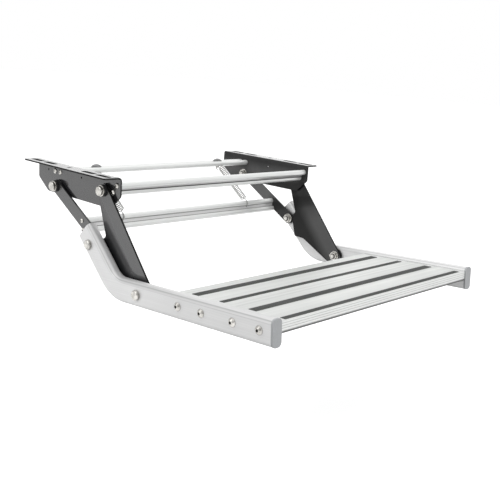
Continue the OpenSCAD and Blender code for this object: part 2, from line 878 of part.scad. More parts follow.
module front_pivot_nuts() { upper_nuts(pivot_b); }
module front_pivot_spacers() { upper_spacers(pivot_b); }
module upper_pivot_washers() {
    color("#2b2b2c")
        both_sides()
            for (p = [pivot_a, pivot_b])
                ring(p, link_out_x + play, link_out_x + play + pad_t, washer_d - 1,
                    pivot_d + 2 * seat_clear);
}

module left_front_link() { color("#3a3a3c") mirror([1, 0, 0]) front_link(); }
module right_front_link() { color("#3a3a3c") front_link(); }
module left_rear_link() { color("#3a3a3c") mirror([1, 0, 0]) rear_link(); }
module right_rear_link() { color("#3a3a3c") rear_link(); }
module link_cross_bar() { color("#dcdddb") cross_bar(link_bar_beads, link_in_x); }
module cross_bar_screws() {
    color("#d8d6cc")
        both_sides()
            for (p = link_bar_beads) bar_screw(p, link_out_x);
}
// The pivot between rear link and rail is in two halves that meet at the link's outer face
module rail_pivot_nuts() {
    color("#d8d6cc")
        both_sides() {
            pivot_nut(pivot_c_at, link_in_x);
            rod(pivot_c_at, link_in_x - nut_h - 1, link_out_x, pivot_d);
        }
}
module left_spring() { color("#c9c9c4") mirror([1, 0, 0]) spring(); }
module right_spring() { color("#c9c9c4") spring(); }

module left_rail() { color("#d9d9d9") mirror([1, 0, 0]) rail(); }
module right_rail() { color("#d9d9d9") rail(); }
module rear_plank() {
    color("#e0e2df") plank(rear_plank_front, rear_plank_l, rear_port_inset);
}
module front_plank() {
    color("#e0e2df") plank(front_plank_front, front_plank_l - plank_gap, front_port_inset);
}
module rear_grip_strips() { color("#5a5c5a") grip_strips(rear_plank_front, rear_plank_l); }
module front_grip_strips() {
    color("#5a5c5a") grip_strips(front_plank_front, front_plank_l - plank_gap);
}
module left_nose_cap() { color("#9b9da0") mirror([1, 0, 0]) nose_cap(); }
module right_nose_cap() { color("#9b9da0") nose_cap(); }
module leg_end_plugs() { color("#9b9da0") both_sides() leg_plug(); }
module plank_screws() {
    color("#d8d6cc")
        both_sides()
            for (y = concat(rear_ports, front_ports)) plank_screw(y);
}
module lower_pivot_bolts() {
    color("#d8d6cc")
        both_sides() at_rail()
            pivot_bolt([0, 0], link_in_x - nut_h - 1, rail_out_x, false);
}
module lower_pivot_nuts() {
    color("#d8d6cc")
        both_sides() at_rail() pivot_nut([0, 0], link_in_x - play);
}
module lower_pivot_washers() {
    color("#2b2b2c")
        both_sides() at_rail()
            ring([0, 0], link_out_x + play, rail_in_x, nylon_washer_d, pivot_d + 2 * seat_clear);
}
module rail_pivot_bolts() {
    color("#d8d6cc")
        both_sides() at_rail()
            pivot_bolt(pivot_c_local, link_out_x + play, rail_out_x, false);
}
module rail_pivot_spacers() {
    color("#8f8f8c")
        both_sides() at_rail()
            ring(pivot_c_local, link_out_x + play, rail_in_x, washer_d - 2, pivot_d + 2 * seat_clear);
}

left_bracket();
right_bracket();
rear_tie();
front_tie();
tie_screws();
spring_eye_bolts();
spring_eye_nuts();
rear_pivot_bolts();
rear_pivot_nuts();
front_pivot_bolts();
front_pivot_nuts();
rear_pivot_spacers();
front_pivot_spacers();
upper_pivot_washers();
left_front_link();
right_front_link();
left_rear_link();
right_rear_link();
link_cross_bar();
cross_bar_screws();
rail_pivot_nuts();
left_spring();
right_spring();
left_rail();
right_rail();
rear_plank();
front_plank();
rear_grip_strips();
front_grip_strips();
left_nose_cap();
right_nose_cap();
leg_end_plugs();
plank_screws();
lower_pivot_bolts();
lower_pivot_nuts();
lower_pivot_washers();
rail_pivot_bolts();
rail_pivot_spacers();
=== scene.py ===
# Looks of the caravan pull out step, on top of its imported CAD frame. The solids keep their shapes and
# get finishes. The screws, pivot bolts, nuts and springs are modelled anew in the places of the part's.
import json
import math
import bmesh
import bpy
from mathutils import Matrix, Vector


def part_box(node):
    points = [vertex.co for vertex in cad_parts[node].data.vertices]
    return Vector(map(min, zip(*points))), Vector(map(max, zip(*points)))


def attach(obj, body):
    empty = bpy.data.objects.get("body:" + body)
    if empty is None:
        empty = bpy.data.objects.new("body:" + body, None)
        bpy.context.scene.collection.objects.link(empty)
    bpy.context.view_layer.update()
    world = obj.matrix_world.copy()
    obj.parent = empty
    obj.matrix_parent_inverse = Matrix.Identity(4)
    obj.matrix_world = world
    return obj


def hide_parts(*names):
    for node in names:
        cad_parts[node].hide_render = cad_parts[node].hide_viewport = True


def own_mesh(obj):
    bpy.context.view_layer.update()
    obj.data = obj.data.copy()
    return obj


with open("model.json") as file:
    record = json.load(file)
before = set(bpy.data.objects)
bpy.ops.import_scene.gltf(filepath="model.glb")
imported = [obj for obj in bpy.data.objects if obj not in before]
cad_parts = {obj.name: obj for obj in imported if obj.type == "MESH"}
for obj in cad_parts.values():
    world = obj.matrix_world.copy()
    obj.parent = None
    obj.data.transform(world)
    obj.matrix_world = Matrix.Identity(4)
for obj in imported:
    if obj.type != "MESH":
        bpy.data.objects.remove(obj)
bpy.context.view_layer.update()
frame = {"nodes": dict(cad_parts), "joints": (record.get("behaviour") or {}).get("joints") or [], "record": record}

node = frame["nodes"]
scene = bpy.context.scene
MM = 0.001


# Places that the frame gives, in metres. X runs across the step, -Y points outwards, +Z is up.
# A point or direction of two values lies in the Y Z plane.

def joint_place(name):
    """Where a joint's axis crosses the Y Z plane."""
    joint = [j for j in frame["joints"] if j["name"] == name][0]
    return tuple(joint["pos_m"][1:])


def middle(name):
    """The middle of a CAD node at rest, seen along X."""
    low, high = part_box(name)
    return (low[1] + high[1]) / 2, (low[2] + high[2]) / 2


def heading(start, end):
    """Unit direction from one point to another."""
    length = math.dist(start, end)
    return (end[0] - start[0]) / length, (end[1] - start[1]) / length


REAR_PIVOT = joint_place("rear_link_swing")
FRONT_PIVOT = joint_place("fold")
LOWER_PIVOT = joint_place("tread_swing")
RAIL_PIVOT = middle("rail_pivot_bolts")
RAIL_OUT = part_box("right_rail")[1][0]
LINK_IN, LINK_OUT = [corner[0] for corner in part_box("right_rear_link")]
WEB_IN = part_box("right_bracket")[0][0]

# Sizes as in the part's source
BRACKET_T = 3 * MM
WEB_OUT = WEB_IN + BRACKET_T
SIDE_PLAY = 0.15 * MM
HEAD_WASHER_T = 3.5 * MM
TREAD_TILT = math.radians(4.2)
# The rail: its depth, its corner radius, and where and how steeply its centreline turns up the leg
RAIL_H = 45 * MM
RAIL_CORNER = 8 * MM
RAIL_TURN = 72.5 * MM
LEG_SLOPE = math.radians(47)
# The plank screws, from the lower pivot outwards and up
PLANK_SCREWS_AT = (112 * MM, 170 * MM, 242.5 * MM, 300.5 * MM)
PLANK_SCREW_UP = 0.9 * MM
# The flanges' slots: their line, their middles to both sides of Y = 0, their straight run and width
FLANGE_HOLE_LINE = 288 * MM
SLOTS_AT = (66 * MM, 112 * MM)
SLOT_RUN = 27.5 * MM
SLOT_W = 8.5 * MM

# The tread's own frame starts at the lower pivot, with these directions; the legs rise from it
TREAD_BACK = (math.cos(TREAD_TILT), -math.sin(TREAD_TILT))
TREAD_UP = (math.sin(TREAD_TILT), math.cos(TREAD_TILT))
LEG_ACROSS = (-math.sin(LEG_SLOPE - TREAD_TILT), math.cos(LEG_SLOPE - TREAD_TILT))


def tread_place(back, up):
    """A point of the tread's own frame."""
    return tuple(LOWER_PIVOT[i] + back * TREAD_BACK[i] + up * TREAD_UP[i] for i in (0, 1))


def cross_bar(name, slope):
    """A cross bar's middle, and the direction across its web, which slopes down by degrees."""
    slope = math.radians(slope)
    return middle(name), (math.cos(slope), -math.sin(slope))


REAR_TIE = cross_bar("rear_tie", 0.0)
FRONT_TIE = cross_bar("front_tie", 50.5)
LINK_BAR = cross_bar("link_cross_bar", -74.5)
BEAD_FROM_MIDDLE = 9.25 * MM
BAR_WEB_HALF = 3.6 * MM


def bead_places(bar):
    """The middles of a cross bar's two beads."""
    (y, z), (back, up) = bar
    return [(y - k * BEAD_FROM_MIDDLE * back, z - k * BEAD_FROM_MIDDLE * up) for k in (1, -1)]


# The springs hang from SPRING_TOP and end at the link bar's upper bead
SPRING_X = 178 * MM
SPRING_TOP = joint_place("spring_swing")
SPRING_END = bead_places(LINK_BAR)[1]


# Camera

def photo_camera():
    """The photograph's view, fitted to the step's edges."""
    eye = bpy.data.cameras.new("photo_view")
    eye.lens = 55.74
    eye.sensor_width = 36.0
    camera = bpy.data.objects.new("photo_view", eye)
    scene.collection.objects.link(camera)
    camera.location = (-1.12834, -1.28250, 0.21706)
    camera.rotation_euler = [math.radians(turn) for turn in (76.5998, -4.1418, -45.8723)]
    scene.camera = camera


photo_camera()


# Workshop helpers

def nothing_selected():
    bpy.ops.object.select_all(action="DESELECT")


def work_on(piece):
    nothing_selected()
    piece.select_set(True)
    bpy.context.view_layer.objects.active = piece


def settle(name):
    """The piece just made gets its name, and its place goes into its mesh."""
    piece = bpy.context.object
    piece.name = name
    piece.data.name = name
    bpy.ops.object.transform_apply(location=True, rotation=True, scale=True)
    return piece


def cylinder(radius, x0, x1, sides):
    """A plain cylinder along X."""
    nothing_selected()
    bpy.ops.mesh.primitive_cylinder_add(
        vertices=sides, radius=radius, depth=x1 - x0,
        location=((x0 + x1) / 2, 0, 0), rotation=(0, math.pi / 2, 0))
    return settle("cylinder")


def ball(radius, x, segments, rings):
    """A ball with its poles along X."""
    nothing_selected()
    bpy.ops.mesh.primitive_uv_sphere_add(
        segments=segments, ring_count=rings, radius=radius,
        location=(x, 0, 0), rotation=(0, math.pi / 2, 0))
    return settle("ball")


def select_faces(piece, wanted):
    """In edit mode, selects the faces whose centre and normal pass the test."""
    bpy.ops.mesh.select_mode(type="FACE")
    bpy.ops.mesh.select_all(action="DESELECT")
    mesh = bmesh.from_edit_mesh(piece.data)
    for face in mesh.faces:
        face.select = wanted(face.calc_center_median(), face.normal)
    mesh.select_flush_mode()
    bmesh.update_edit_mesh(piece.data)


def select_rim(piece, wanted):
    """In edit mode, selects the open edges whose midpoint passes the test."""
    bpy.ops.mesh.select_mode(type="EDGE")
    bpy.ops.mesh.select_all(action="DESELECT")
    mesh = bmesh.from_edit_mesh(piece.data)
    for edge in mesh.edges:
        midpoint = (edge.verts[0].co + edge.verts[1].co) / 2
        edge.select = edge.is_boundary and wanted(midpoint)
    mesh.select_flush_mode()
    bmesh.update_edit_mesh(piece.data)


def apply_modifier(piece, kind, **settings):
    work_on(piece)
    step = piece.modifiers.new(kind.lower(), kind)
    for key, value in settings.items():
        setattr(step, key, value)
    bpy.ops.object.modifier_apply(modifier=step.name)


def soften(piece, width, segments, angle):
    """Rounds the edges that turn by more than an angle in degrees."""
    apply_modifier(piece, "BEVEL", width=width, segments=segments,
                   limit_method="ANGLE", angle_limit=math.radians(angle))


def combine(piece, tool, operation, **settings):
    """A boolean that uses its tool up."""
    apply_modifier(piece, "BOOLEAN", operation=operation, object=tool, solver="EXACT", **settings)
    bpy.data.objects.remove(tool)


def turned_rod(radius, x0, x1, sides=48):
    """A round bar along X with softly broken edges."""
    rod = cylinder(radius, x0, x1, sides)
    soften(rod, min(0.25 * MM, (x1 - x0) / 5), 2, 40)
    return rod


def joined(parts, name):
    nothing_selected()
    for part in parts:
        part.select_set(True)
    bpy.context.view_layer.objects.active = parts[0]
    if len(parts) > 1:
        bpy.ops.object.join()
    return settle(name)


def smooth(piece, angle=32):
    work_on(piece)
    bpy.ops.object.shade_smooth_by_angle(angle=math.radians(angle))


def set_out(pattern, places, name):
    """Copies of a pattern, each with its own mesh, at (x, y, z, side). The pattern is used up."""
    copies = []
    for x, y, z, side in places:
        copy = pattern.copy()
        copy.data = pattern.data.copy()
        scene.collection.objects.link(copy)
        turn = Matrix.Identity(4) if side > 0 else Matrix.Rotation(math.pi, 4, "Z")
        copy.data.transform(Matrix.Translation((x, y, z)) @ turn)
        copies.append(copy)
    bpy.data.objects.remove(pattern)
    return joined(copies, name)


def outwards(x, points):
    """Places on both sides of the step, for a pattern that points out along X."""
    return [(side * x, y, z, side) for side in (1, -1) for y, z in points]


def inwards(x, points):
    """Places on both sides of the step, for a pattern that points in along X."""
    return [(-side * x, y, z, side) for side in (1, -1) for y, z in points]


# Shader nodes

class Wiring:
    """Short ways to add nodes to one tree and to join them. A value may be a socket or a plain number."""

    def __init__(self, tree):
        self.nodes = tree.nodes
        self.wire = tree.links.new

    def put(self, value, socket):
        if isinstance(value, bpy.types.NodeSocket):
            self.wire(value, socket)
        else:
            socket.default_value = value

    def math(self, operation, *values):
        step = self.nodes.new("ShaderNodeMath")
        step.operation = operation
        for value, socket in zip(values, step.inputs):
            self.put(value, socket)
        return step.outputs[0]

    def vector_math(self, operation, first, second):
        step = self.nodes.new("ShaderNodeVectorMath")
        step.operation = operation
        self.put(first, step.inputs[0])
        self.put(second, step.inputs[1])
        return step.outputs["Value" if operation == "DOT_PRODUCT" else "Vector"]

    def noise(self, vector, scale, detail, roughness=0.5):
        cloud = self.nodes.new("ShaderNodeTexNoise")
        self.put(vector, cloud.inputs["Vector"])
        self.put(scale, cloud.inputs["Scale"])
        cloud.inputs["Detail"].default_value = detail
        cloud.inputs["Roughness"].default_value = roughness
        return cloud.outputs["Fac"]

    def range(self, value, low, high, start=0.0, end=1.0, interpolation="LINEAR"):
        """Goes from low to high while the value goes from start to end, and no further."""
        spread = self.nodes.new("ShaderNodeMapRange")
        spread.interpolation_type = interpolation
        self.wire(value, spread.inputs["Value"])
        spread.inputs["From Min"].default_value = start
        spread.inputs["From Max"].default_value = end
        spread.inputs["To Min"].default_value = low
        spread.inputs["To Max"].default_value = high
        return spread.outputs["Result"]

    def split(self, vector):
        parts = self.nodes.new("ShaderNodeSeparateXYZ")
        self.wire(vector, parts.inputs[0])
        return parts.outputs

    def blend(self, factor, dark, light):
        mix = self.nodes.new("ShaderNodeMix")
        mix.data_type = "RGBA"
        self.wire(factor, mix.inputs["Factor"])
        # The node has an A, a B and a result for every kind of data
        for label, value in (("A", dark), ("B", light)):
            socket = [s for s in mix.inputs if s.name == label and s.type == "RGBA"][0]
            self.put((*value, 1) if isinstance(value, tuple) else value, socket)
        return [s for s in mix.outputs if s.type == "RGBA"][0]


def grey(value):
    return (value, value, value)


# Shader groups, for the effects that several finishes share

FLOAT = "NodeSocketFloat"
VECTOR = "NodeSocketVector"


class Effect(Wiring):
    """A node group with named inputs (name, kind, default) and named outputs, all of them values."""

    def __init__(self, name, inputs, outputs):
        self.tree = bpy.data.node_groups.new(name, "ShaderNodeTree")
        super().__init__(self.tree)
        for label, kind, default in inputs:
            socket = self.tree.interface.new_socket(name=label, in_out="INPUT", socket_type=kind)
            if default is not None:
                socket.default_value = default
        for label in outputs:
            self.tree.interface.new_socket(name=label, in_out="OUTPUT", socket_type=FLOAT)
        self.given = self.nodes.new("NodeGroupInput").outputs
        self.result = self.nodes.new("NodeGroupOutput").inputs


def drawn_lines_group():
    """Fine lines that drawing or extruding leaves along a bar: noise stretched along one axis."""
    g = Effect("drawn_lines", [("Vector", VECTOR, None), ("Across", VECTOR, (1, 1, 1))], ["Lines"])
    stretched = g.vector_math("MULTIPLY", g.given["Vector"], g.given["Across"])
    fine = g.noise(stretched, 1.0, detail=4.0, roughness=0.65)
    g.wire(g.range(fine, 0.0, 1.0, 0.3, 0.7), g.result["Lines"])
    return g.tree


def handling_marks_group():
    """Faint smudges and dust: broad cloudy patches with a few small specks."""
    g = Effect("handling_marks",
               [("Vector", VECTOR, None), ("Scale", FLOAT, 14.0), ("Specks", FLOAT, 0.3)],
               ["Smudge", "Speck"])
    cloud = g.noise(g.given["Vector"], g.given["Scale"], detail=3.0, roughness=0.55)
    dust = g.noise(g.given["Vector"], 420.0, detail=1.0)
    few = g.math("MULTIPLY", g.range(dust, 0.0, 1.0, 0.68, 0.8), g.given["Specks"])
    g.wire(g.range(cloud, 0.0, 1.0, 0.38, 0.66), g.result["Smudge"])
    g.wire(few, g.result["Speck"])
    return g.tree


def grained_skin_group():
    """The pimpled skin of powder coat and moulded plastic, in two sizes of grain."""
    g = Effect("grained_skin", [("Vector", VECTOR, None), ("Grain", FLOAT, 900.0)], ["Height", "Mottle"])
    small = g.noise(g.given["Vector"], g.given["Grain"], detail=2.0)
    coarse = g.noise(g.given["Vector"], g.math("MULTIPLY", g.given["Grain"], 0.3), detail=2.0)
    g.wire(g.math("ADD", small, coarse), g.result["Height"])
    g.wire(coarse, g.result["Mottle"])
    return g.tree


def corner_shade_group():
    """Painted shade: 1 in the corners and grooves, where light is lost, 0 on open faces."""
    g = Effect("painted_corner_shade", [("Reach", FLOAT, 5 * MM)], ["Dirt"])
    hollow = g.nodes.new("ShaderNodeAmbientOcclusion")
    hollow.samples = 6
    g.wire(g.given["Reach"], hollow.inputs["Distance"])
    g.wire(g.range(hollow.outputs["AO"], 1.0, 0.0, 0.15, 0.8), g.result["Dirt"])
    return g.tree


def plate_faces_group():
    """The faces of the coated plates. Outside is 1 on those that look away from the step or up, Face on
    the inner ones too, and Top on those that look up. All are 0 on the plates' cut edges."""
    g = Effect("plate_faces", [("Vector", VECTOR, None), ("Normal", VECTOR, None)],
               ["Outside", "Face", "Top"])
    place, facing = g.split(g.given["Vector"]), g.split(g.given["Normal"])
    away = g.math("MULTIPLY", g.math("SIGN", place["X"]), facing["X"])
    outer = g.range(away, 0.0, 1.0, 0.2, 0.8)
    flat = g.range(g.math("ABSOLUTE", facing["X"]), 0.0, 1.0, 0.6, 0.95)
    top = g.range(facing["Z"], 0.0, 1.0, 0.8, 0.95)
    # Past this only the flange's cut edge looks sideways
    inboard = g.math("LESS_THAN", g.math("ABSOLUTE", place["X"]), 280 * MM)
    g.wire(g.math("MAXIMUM", g.math("MULTIPLY", outer, inboard), top), g.result["Outside"])
    g.wire(g.math("MAXIMUM", g.math("MULTIPLY", flat, inboard), top), g.result["Face"])
    g.wire(top, g.result["Top"])
    return g.tree


def bead_bar_group():
    """The web of a two-bead bar, and the two grooves where the beads meet it. Across points over the
    web, and Middle is how far the bar's middle lies along it."""
    g = Effect("bead_bar",
               [("Vector", VECTOR, None), ("Across", VECTOR, (0, 1, 0)), ("Middle", FLOAT, 0.0)],
               ["Web", "Groove"])
    reach = g.vector_math("DOT_PRODUCT", g.given["Vector"], g.given["Across"])
    off = g.math("ABSOLUTE", g.math("SUBTRACT", reach, g.given["Middle"]))
    from_edge = g.math("ABSOLUTE", g.math("SUBTRACT", off, BAR_WEB_HALF))
    g.wire(g.range(off, 1.0, 0.0, BAR_WEB_HALF - 0.2 * MM, BAR_WEB_HALF + 0.4 * MM), g.result["Web"])
    g.wire(g.range(from_edge, 1.0, 0.0, 0.3 * MM, 0.9 * MM), g.result["Groove"])
    return g.tree


DRAWN_LINES = drawn_lines_group()
HANDLING_MARKS = handling_marks_group()
GRAINED_SKIN = grained_skin_group()
CORNER_SHADE = corner_shade_group()
PLATE_FACES = plate_faces_group()
BEAD_BAR = bead_bar_group()


# Finishes

class Finish(Wiring):
    """A material with its Principled shader, and short ways to feed it.

    Values for more of the shader's sockets are given by name, with _ for a space."""

    def __init__(self, name, metallic=0.0, roughness=0.5, **sockets):
        self.material = bpy.data.materials.new(name)
        self.material.use_nodes = True
        super().__init__(self.material.node_tree)
        self.shader = self.nodes["Principled BSDF"]
        self.shader.inputs["Metallic"].default_value = metallic
        self.shader.inputs["Roughness"].default_value = roughness
        for label, value in sockets.items():
            self.shader.inputs[label.replace("_", " ")].default_value = value
        coordinates = self.nodes.new("ShaderNodeTexCoord")
        self.place = coordinates.outputs["Object"]
        self.facing = coordinates.outputs["Normal"]

    def lying_with_tread(self):
        """The place turned to the tilt of the tread."""
        mapping = self.nodes.new("ShaderNodeMapping")
        mapping.inputs["Rotation"].default_value = (TREAD_TILT, 0, 0)
        self.wire(self.place, mapping.inputs["Vector"])
        return mapping.outputs["Vector"]

    def group(self, tree, vector=None, **values):
        """Uses a shader group on the place or on another vector, and gives its outputs."""
        use = self.nodes.new("ShaderNodeGroup")
        use.node_tree = tree
        if "Vector" in use.inputs:
            self.wire(vector or self.place, use.inputs["Vector"])
        for label, value in values.items():
            self.put(value, use.inputs[label])
        return use.outputs

    def along(self, direction, origin):
        """The distance of a point from origin along a direction."""
        reach = self.vector_math("DOT_PRODUCT", self.place, (0.0, *direction))
        return self.math("SUBTRACT", reach, direction[0] * origin[0] + direction[1] * origin[1])

    def fading(self, line, least):
        """From 1 down to least along a line, given as (origin, direction, start, end)."""
        origin, direction, start, end = line
        return self.range(self.along(direction, origin), 1.0, least, start, end)

    def slot_shade_rims(self):
        """1 on the rims round the flanges' slots, which are painted dark and dull as shade round the holes."""
        place = self.split(self.place)
        length = self.math("ABSOLUTE", place["Y"])
        runs = [self.math("ABSOLUTE", self.math("SUBTRACT", length, y)) for y in SLOTS_AT]
        past_end = self.math("SUBTRACT", self.math("MINIMUM", *runs), SLOT_RUN / 2)
        beyond = self.math("MAXIMUM", past_end, 0.0)
        aside = self.math("SUBTRACT", self.math("ABSOLUTE", place["X"]), FLANGE_HOLE_LINE)
        squares = self.math("ADD", self.math("POWER", beyond, 2.0), self.math("POWER", aside, 2.0))
        off = self.math("SQRT", squares)
        return self.range(off, 1.0, 0.0, SLOT_W / 2 + 2.0 * MM, SLOT_W / 2 + 2.8 * MM)

    def colour(self, source):
        self.wire(source, self.shader.inputs["Base Color"])

    def rough(self, source):
        self.wire(source, self.shader.inputs["Roughness"])

    def relief(self, height, distance, strength):
        bump = self.nodes.new("ShaderNodeBump")
        bump.inputs["Distance"].default_value = distance
        bump.inputs["Strength"].default_value = strength
        self.wire(height, bump.inputs["Height"])
        self.wire(bump.outputs["Normal"], self.shader.inputs["Normal"])


# The clear coat's weight on the outer faces and on the cut edges
OUTER_GLOSS = 0.82
EDGE_GLOSS = 0.02


def powder_coat(name, inner_gloss, inner_shade_tones, shadow=None, inner_shadow=None, flange_shadow=None, slots=False):
    """Black coat: glossy on the faces that look outwards, duller inside, thin on cut edges and painted dark there
    as shade.

    inner_shade_tones are the painted shaded and the painted lit tone of the inner faces. shadow and inner_shadow
    are
    lines as in fading: along shadow all faces grow dark and dull with painted shade, along inner_shadow the inner
    ones alone. flange_shadow are two heights between which the inner faces darken with painted shade under a
    flange. With slots, the rims of the flange's slots are painted dark and dull as shade round the holes."""
    f = Finish(name, roughness=0.5, Specular_IOR_Level=0.1, Coat_Roughness=0.1, Coat_IOR=1.85)
    skin = f.group(GRAINED_SKIN, Grain=700.0)
    marks = f.group(HANDLING_MARKS, Scale=16.0, Specks=0.5)
    faces = f.group(PLATE_FACES, Normal=f.facing)
    outside, face = faces["Outside"], faces["Face"]
    # Painted shade on the rims round the slots
    if slots:
        rim = f.math("MULTIPLY", f.slot_shade_rims(), faces["Top"])
        outside = f.math("SUBTRACT", outside, rim)
        face = f.math("SUBTRACT", face, rim)
    # Painted shade along shadow, under the flange and along inner_shadow
    if shadow:
        face = f.math("MULTIPLY", face, f.fading(shadow, least=0.15))
    if flange_shadow:
        shade_below = f.range(f.split(f.place)["Z"], 1.0, 0.25, *flange_shadow)
        face = f.math("MULTIPLY", face, f.math("MAXIMUM", shade_below, outside))
    if inner_shadow:
        face = f.math("MULTIPLY", face, f.math("MAXIMUM", f.fading(inner_shadow, least=0.25), outside))
    gloss = f.math("MULTIPLY_ADD", face, inner_gloss - EDGE_GLOSS, EDGE_GLOSS)
    gloss = f.math("MULTIPLY_ADD", outside, OUTER_GLOSS - inner_gloss, gloss)
    f.wire(gloss, f.shader.inputs["Coat Weight"])
    tone = f.math("MAXIMUM", f.range(marks["Smudge"], 0.0, 0.5), marks["Speck"])
    # The inner faces go between their painted shaded and lit tones with the smudges; the cut edges keep the shaded
    # one
    lit_and_smudged = f.math("MULTIPLY", face, f.math("MULTIPLY_ADD", tone, 0.5, 0.5))
    dark, light = inner_shade_tones
    inner = f.blend(lit_and_smudged, grey(dark), grey(light))
    outer = f.blend(tone, (0.010, 0.010, 0.011), (0.028, 0.028, 0.030))
    f.colour(f.blend(outside, inner, outer))
    f.rough(f.range(marks["Smudge"], 0.42, 0.58))
    f.relief(skin["Height"], 0.012 * MM, 0.5)
    return f.material


# The two lines along a rail's top where its flat turns into the corners, from the middle of the step
RAIL_SHOULDERS = (281.8 * MM, 298.4 * MM)


def rail_aluminium(name):
    """Satin anodised rail: drawn lines, painted shade where a flat turns into a corner, along the underside and in
    corners, and painted light and shade on its ends and tops.
    """
    f = Finish(name, metallic=0.35, roughness=0.34, Specular_IOR_Level=0.25)
    lines = f.group(DRAWN_LINES, vector=f.lying_with_tread(), Across=(1100.0, 3.0, 1100.0))
    marks = f.group(HANDLING_MARKS, Scale=9.0, Specks=0.2)
    crease_shade = f.group(CORNER_SHADE, Reach=7 * MM)["Dirt"]
    place = f.split(f.place)
    # Distance across the rail from its centreline, which runs along the tread, bends and rises up the leg
    front = f.along(TREAD_UP, LOWER_PIVOT)
    rear = f.along(LEG_ACROSS, tread_place(RAIL_TURN, 0))
    across = f.math("SMOOTH_MIN", front, rear, 35 * MM)
    top = f.range(across, 0.0, 1.0, 14 * MM, 17 * MM)
    # Painted shade along the underside and along the lines where a flat turns into a corner
    shade_below = f.range(across, 0.75, 0.0, -21.6 * MM, -19.0 * MM)
    from_corner = f.math("ABSOLUTE", f.math("SUBTRACT", across, RAIL_H / 2 - RAIL_CORNER))
    corner_shade_line = f.range(from_corner, 0.16, 0.0, 0.25 * MM, 1.0 * MM)
    width = f.math("ABSOLUTE", place["X"])
    off_lines = [f.math("ABSOLUTE", f.math("SUBTRACT", width, x)) for x in RAIL_SHOULDERS]
    shoulder_shade = f.range(f.math("MINIMUM", *off_lines), 0.36, 0.0, 0.3 * MM, 1.0 * MM)
    shoulder_shade = f.math("MULTIPLY", shoulder_shade, top)
    tone = f.math("MULTIPLY", lines["Lines"], f.range(marks["Smudge"], 1.0, 0.7))
    # Painted light and shade: the front ends are a little darker than the rear ends, and the top of the left rail
    # darker than the right's
    shaded_front = f.blend(tone, grey(0.62), grey(0.72))
    lit_rear = f.blend(tone, grey(0.70), grey(0.79))
    open_face_tone = f.blend(f.range(place["Y"], 0.0, 1.0, -350 * MM, -260 * MM), shaded_front, lit_rear)
    shaded_left_top = f.blend(tone, grey(0.58), grey(0.66))
    lit_right_top = f.blend(tone, grey(0.68), grey(0.76))
    to_right = f.range(place["X"], 0.0, 1.0, -100 * MM, 100 * MM)
    open_face_tone = f.blend(top, open_face_tone, f.blend(to_right, shaded_left_top, lit_right_top))
    # Painted shade: those lines and the corners turn dark grey
    stripes = f.math("MAXIMUM", corner_shade_line, f.math("MAXIMUM", shade_below, shoulder_shade))
    f.colour(f.blend(f.math("MAXIMUM", stripes, crease_shade), open_face_tone, grey(0.13)))
    f.rough(f.range(marks["Smudge"], 0.32, 0.42))
    f.relief(lines["Lines"], 0.006 * MM, 0.6)
    return f.material


def bar_aluminium(name, bar, web_shade_tone, groove_shade_tone):
    """A cross bar of two beads and a web: drawn lines along it, with painted shade on the web, in the grooves and
    in corners.
    """
    f = Finish(name, metallic=0.35, roughness=0.3)
    lines = f.group(DRAWN_LINES, Across=(3.0, 1400.0, 1400.0))
    marks = f.group(HANDLING_MARKS, Scale=9.0, Specks=0.2)
    crease_shade = f.group(CORNER_SHADE, Reach=5 * MM)["Dirt"]
    (y, z), (back, up) = bar
    shape = f.group(BEAD_BAR, Across=(0.0, back, up), Middle=back * y + up * z)
    tone = f.math("MULTIPLY", lines["Lines"], f.range(marks["Smudge"], 1.0, 0.7))
    open_face_tone = f.blend(tone, (0.74, 0.75, 0.74), (0.86, 0.87, 0.86))
    # Painted shade: the web darker, and the grooves and corners darker still
    web_shaded = f.blend(shape["Web"], open_face_tone, grey(web_shade_tone))
    f.colour(f.blend(f.math("MAXIMUM", shape["Groove"], crease_shade), web_shaded, grey(groove_shade_tone)))
    f.rough(f.range(marks["Smudge"], 0.28, 0.4))
    f.relief(lines["Lines"], 0.006 * MM, 0.6)
    return f.material


# The planks' nose in the tread's own frame: its face, the height of one groove and the grooves' pitch
NOSE_FACE = -326 * MM
NOSE_GROOVE = -3.5 * MM
NOSE_PITCH = 4 * MM


